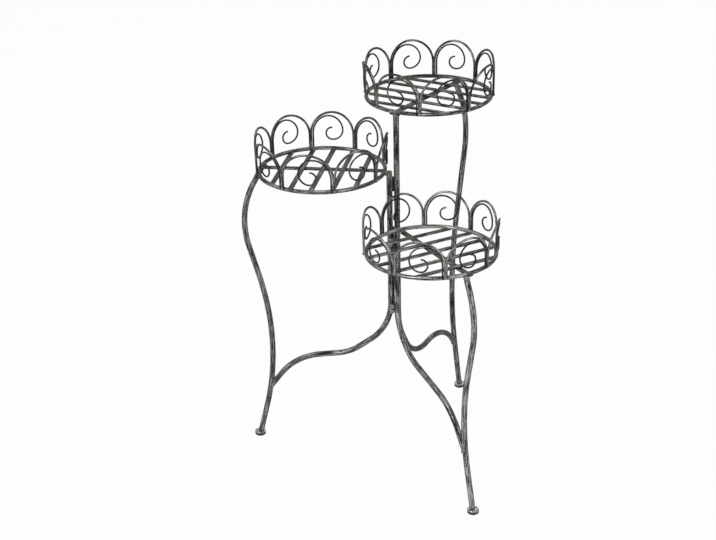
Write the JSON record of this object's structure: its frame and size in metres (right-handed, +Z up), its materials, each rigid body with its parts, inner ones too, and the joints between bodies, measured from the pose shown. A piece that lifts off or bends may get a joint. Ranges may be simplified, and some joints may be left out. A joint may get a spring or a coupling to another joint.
{
  "type": "plant stand",
  "caption": "Folding wrought-metal plant stand: round slatted trays at stepped heights, rims of arches and scrolls, curved legs, and posts hinged together.",
  "frame": {"origin": "on the floor, under the middle of the bounding box", "axes": "+Z up, -Y towards the picture's camera, +X to the right in the picture"},
  "size_m": [0.4326, 0.4692, 0.6853],
  "materials": {
    "metal": "black paint brushed with silver, satin",
    "pad": "matt black plastic"
  },
  "bodies": {
    "middle_frame": {"middle_post": "metal", "middle_leg": "metal", "middle_foot": "metal", "middle_glide": "pad", "middle_ring": "metal", "middle_crossbar": "metal", "middle_slat_1": "metal", "middle_slat_2": "metal", "middle_slat_3": "metal", "middle_slat_4": "metal", "middle_slat_5": "metal", "middle_arches": "metal", "middle_scrolls": "metal", "tall_hinge_pintles": "metal", "low_hinge_pintles": "metal"},
    "tall_frame": {"tall_post": "metal", "tall_leg": "metal", "tall_foot": "metal", "tall_glide": "pad", "tall_ring": "metal", "tall_crossbar": "metal", "tall_slat_1": "metal", "tall_slat_2": "metal", "tall_slat_3": "metal", "tall_slat_4": "metal", "tall_slat_5": "metal", "tall_arches": "metal", "tall_scrolls": "metal", "tall_hinge_barrels": "metal"},
    "low_frame": {"low_post": "metal", "low_leg": "metal", "low_foot": "metal", "low_glide": "pad", "low_ring": "metal", "low_crossbar": "metal", "low_slat_1": "metal", "low_slat_2": "metal", "low_slat_3": "metal", "low_slat_4": "metal", "low_slat_5": "metal", "low_arches": "metal", "low_scrolls": "metal", "low_hinge_barrels": "metal"}
  },
  "joints": [
    {"name": "tall_fold", "type": "hinge", "parent": "middle_frame", "child": "tall_frame", "pos_m": [0.03943, 0.00247, 0.292], "axis": [0, 0, 1], "range_deg": [0, 95]},
    {"name": "low_fold", "type": "hinge", "parent": "middle_frame", "child": "low_frame", "pos_m": [0.03636, -0.01661, 0.268], "axis": [0, 0, 1], "range_deg": [-95, 0]}
  ]
}
